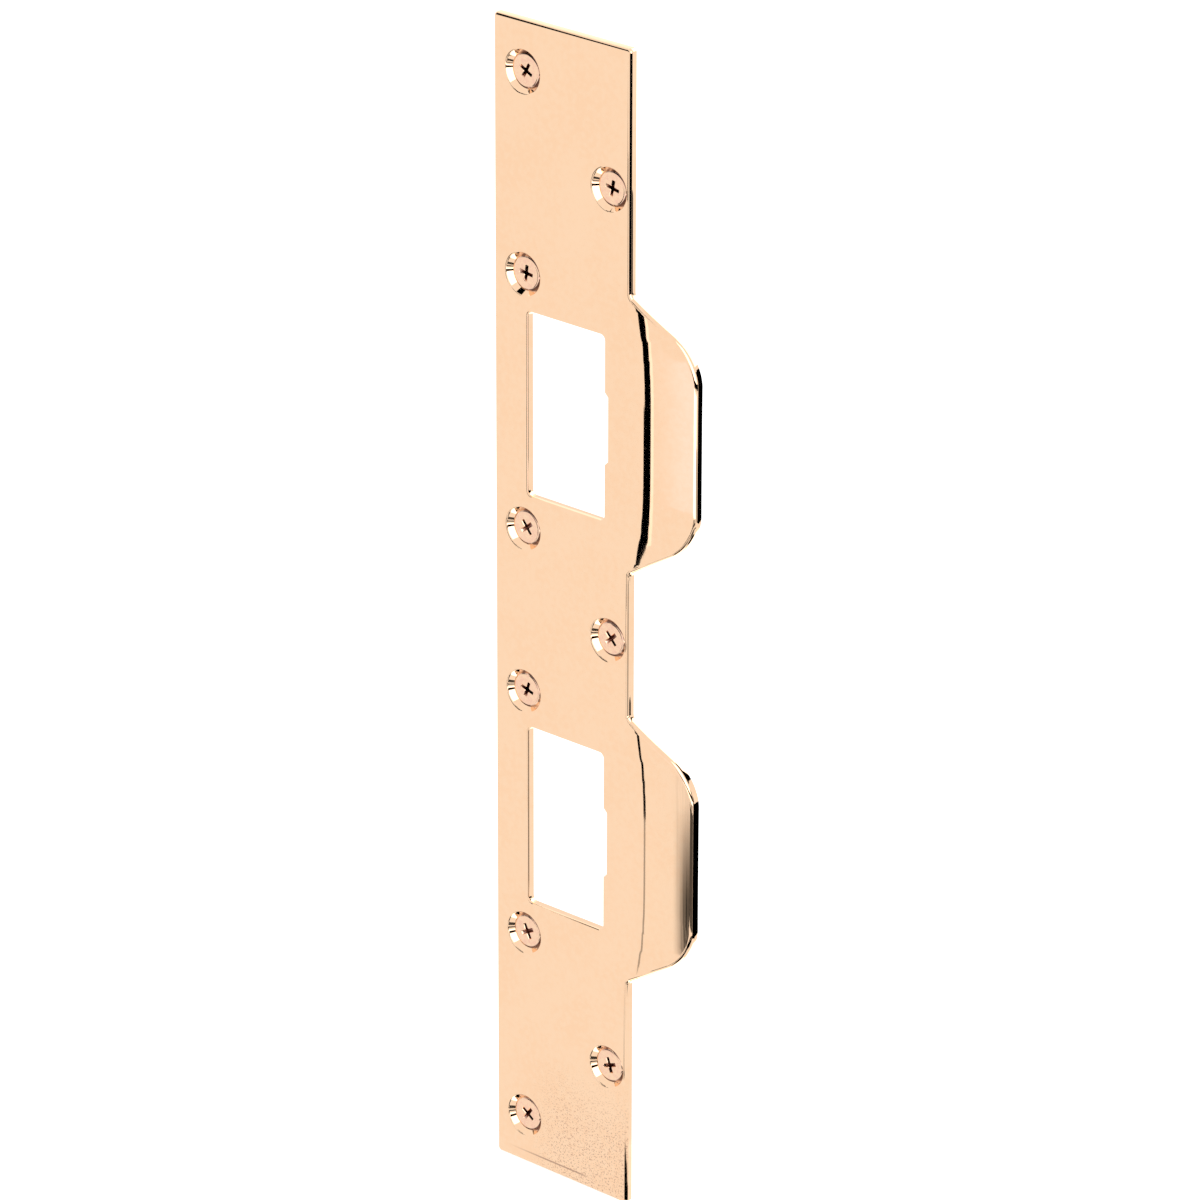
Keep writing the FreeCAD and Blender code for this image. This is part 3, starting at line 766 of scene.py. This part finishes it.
def dark_streak_reflection():
    """A card glow that darkens in drawn-out streaks, deeper downward and outward: a painted
    reflection for the dark streaks at the lower lip's end.
    """
    material, tree, glow = glow_material("dark_streak_reflection")
    place = tree.nodes.new("ShaderNodeTexCoord").outputs["Object"]
    across, _, up = split_axes(tree, place)
    outward = smooth_range(tree, across, -0.185, -0.118)
    downward = smooth_range(tree, up, -0.29, -0.35)
    drawn_out = tree.nodes.new("ShaderNodeMapping")
    drawn_out.inputs["Scale"].default_value = (1.0, 1.0, 0.06)
    tree.links.new(place, drawn_out.inputs["Vector"])
    grain = noise(tree, drawn_out.outputs["Vector"], 120.0, 3.0)
    depth = math_node(tree, "ADD", product(tree, downward, 0.8), 0.1)
    depth = math_node(tree, "ADD", depth, math_node(tree, "SUBTRACT", grain, 0.5))
    dark = math_node(tree, "MULTIPLY", outward, depth, clamp=True)
    tree.links.new(math_node(tree, "SUBTRACT", 1.0, dark), glow.inputs["Strength"])
    return material


def rising_white():
    """A glow that grows slowly toward +X, for the upper lip's paler outer half."""
    material, tree, glow = glow_material("rising_white")
    across, _, _ = split_axes(tree, tree.nodes.new("ShaderNodeTexCoord").outputs["Object"])
    outward = smooth_range(tree, across, -0.28, -0.12)
    tint = tree.nodes.new("ShaderNodeMix")
    tint.data_type = "RGBA"
    tint.inputs["A"].default_value = (1, 1, 1, 1)
    tint.inputs["B"].default_value = (1, 0.975, 1.08, 1)
    tree.links.new(outward, tint.inputs["Factor"])
    tree.links.new(tint.outputs["Result"], glow.inputs["Color"])
    growth = math_node(tree, "ADD", product(tree, outward, 0.14), 1.0)
    tree.links.new(growth, glow.inputs["Strength"])
    return material


def stage_object(name, bm, material):
    """Puts a finished shape of the stage into the scene, in metres."""
    bmesh.ops.scale(bm, vec=(MM, MM, MM), verts=bm.verts)
    mesh = bpy.data.meshes.new(name)
    bm.to_mesh(mesh)
    bm.free()
    mesh.materials.append(material)
    made = bpy.data.objects.new(name, mesh)
    bpy.context.scene.collection.objects.link(made)
    return made


def only_in_reflections(card):
    card.visible_camera = False
    card.visible_diffuse = False
    card.visible_shadow = False


def build_card(name, middle, radius, first, last, low, high, material):
    """One upright card, swept round the middle of its cylinder."""
    bm = bmesh.new()
    angle = math.radians(first - 90)
    foot = Vector((*middle, 0)) + Vector((math.cos(angle), math.sin(angle), 0)) * radius
    verts = [bm.verts.new(foot + Vector((0, 0, low))), bm.verts.new(foot + Vector((0, 0, high)))]
    edge = bm.edges.new(verts)
    bmesh.ops.spin(
        bm,
        geom=verts + [edge],
        cent=(*middle, 0),
        axis=(0, 0, 1),
        angle=math.radians(last - first),
        steps=max(2, round(last - first)),
        use_merge=False,
    )
    only_in_reflections(stage_object(name, bm, material))


def build_cards():
    """The plain cards, then the two whose glow changes across them."""
    for name, *shape, brightness in CARDS:
        build_card(name, *shape, glow_material(name, brightness)[0])
    streaks = (AROUND, CARD_DISTANCE, -23, -8, -392, -270)
    # This card paints the dark streaked reflection at the lower lip's end
    build_card("lower_lip_streaks", *streaks, dark_streak_reflection())
    pale = (AROUND, CARD_DISTANCE, -28.5, 4, -214, -132)
    build_card("upper_lip_face", *pale, rising_white())


def build_glow_below():
    """A bright disc far below, which the upper walls of the countersinks mirror."""
    bm = bmesh.new()
    place = Matrix.Translation((0, 0, -1500))
    bmesh.ops.create_circle(bm, cap_ends=True, segments=48, radius=520, matrix=place)
    only_in_reflections(stage_object("glow_below", bm, glow_material("glow_below", 2.4)[0]))


def build_floor():
    """A pale floor at the plate's foot. The part doesn't mirror it."""
    bm = bmesh.new()
    place = Matrix.Translation((0, 0, -HALF_HEIGHT))
    bmesh.ops.create_grid(bm, x_segments=1, y_segments=1, size=FLOOR_SIZE, matrix=place)
    material, tree = new_material("pale_floor")
    shader = tree.nodes["Principled BSDF"]
    shader.inputs["Base Color"].default_value = (0.9, 0.9, 0.9, 1)
    shader.inputs["Roughness"].default_value = 1.0
    shader.inputs["Specular IOR Level"].default_value = 0.0
    shader.inputs["Emission Color"].default_value = (1, 1, 1, 1)
    shader.inputs["Emission Strength"].default_value = 0.6
    stage_object("floor", bm, material).visible_glossy = False


def build_world():
    """The white surround, which lights the part evenly."""
    world = bpy.data.worlds.new("white_surround")
    world.use_nodes = True
    background = world.node_tree.nodes["Background"]
    background.inputs["Color"].default_value = (1, 1, 1, 1)
    background.inputs["Strength"].default_value = 1.0
    bpy.context.scene.world = world


# The camera that was fitted to the photo: the part's origin falls on one pixel of its frame
AZIMUTH = math.radians(42.61)
ELEVATION = math.radians(22.69)
DISTANCE = 1.533
PIXELS_PER_MM = 4.39
FRAME_PIXELS = 1200
ORIGIN_PIXEL = (566.8, 621.4)
SENSOR = 36.0
ROLL = math.radians(0.15)


def build_camera():
    """Looks at the part from the fitted side, aimed so that the origin keeps its pixel."""
    right = Vector((math.cos(AZIMUTH), math.sin(AZIMUTH), 0))
    back = Vector((
        math.sin(AZIMUTH) * math.cos(ELEVATION),
        -math.cos(AZIMUTH) * math.cos(ELEVATION),
        math.sin(ELEVATION),
    ))
    up = back.cross(right)
    aim = right * (FRAME_PIXELS / 2 - ORIGIN_PIXEL[0]) + up * (ORIGIN_PIXEL[1] - FRAME_PIXELS / 2)
    aim *= MM / PIXELS_PER_MM
    data = bpy.data.cameras.new("camera")
    data.sensor_width = SENSOR
    data.lens = SENSOR * PIXELS_PER_MM / MM * DISTANCE / FRAME_PIXELS
    camera = bpy.data.objects.new("camera", data)
    bpy.context.scene.collection.objects.link(camera)
    place = back * DISTANCE
    look = (aim - place).normalized()
    turn = look.to_track_quat("-Z", "Y").to_matrix().to_4x4() @ Matrix.Rotation(ROLL, 4, "Z")
    camera.matrix_world = Matrix.Translation(place) @ turn
    bpy.context.scene.camera = camera


build_floor()
build_world()
build_cards()
build_glow_below()
build_camera()
bpy.context.scene.view_settings.view_transform = "Standard"
